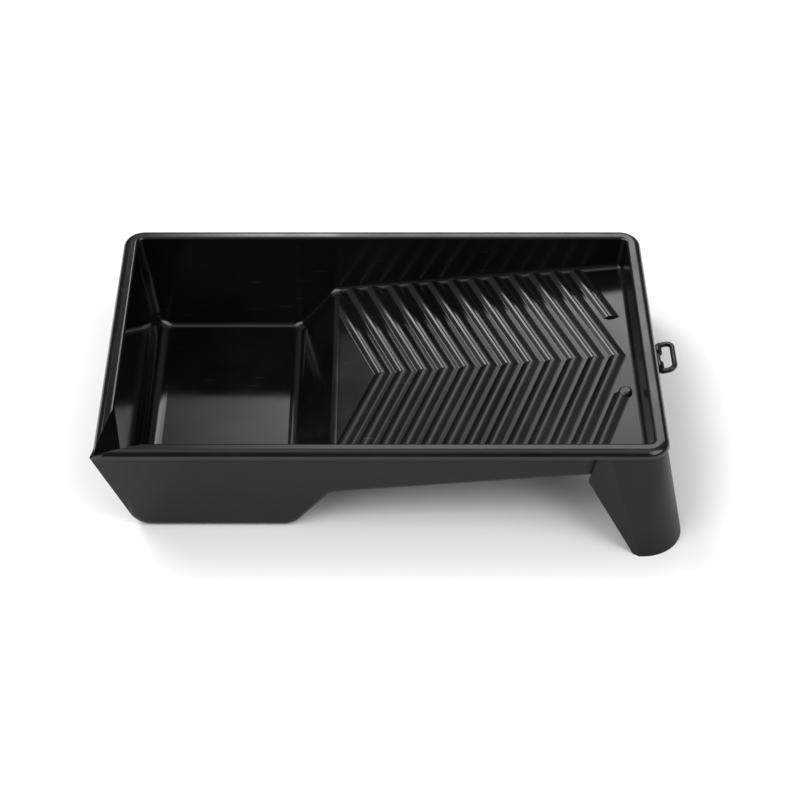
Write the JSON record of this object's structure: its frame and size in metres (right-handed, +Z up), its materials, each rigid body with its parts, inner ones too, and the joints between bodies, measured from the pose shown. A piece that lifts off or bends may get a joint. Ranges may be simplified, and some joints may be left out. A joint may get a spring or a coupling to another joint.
{
  "type": "paint roller tray",
  "caption": "Paint roller tray with a deep well, a chevron-ribbed ramp, a rolled rim with a pour spout, two clip-on legs and a swinging hanging loop.",
  "frame": {"origin": "middle of the flat underside of the well, on the standing plane", "axes": "+X along the tray from the deep well to the shallow end, +Y to the back long side (the spout is at the front), +Z up"},
  "size_m": [0.4395, 0.301, 0.089],
  "materials": {
    "black_plastic": "satin",
    "black_plastic_loop": "satin"
  },
  "bodies": {
    "tray": {"tray_pan": "black_plastic", "front_leg": "black_plastic", "rear_leg": "black_plastic"},
    "loop": {"hanging_loop": "black_plastic_loop"}
  },
  "joints": [
    {"name": "loop_swing", "type": "hinge", "parent": "tray", "child": "loop", "pos_m": [0.338, 0, 0.0645], "axis": [0, -1, 0], "range_deg": [-105, 75]}
  ]
}
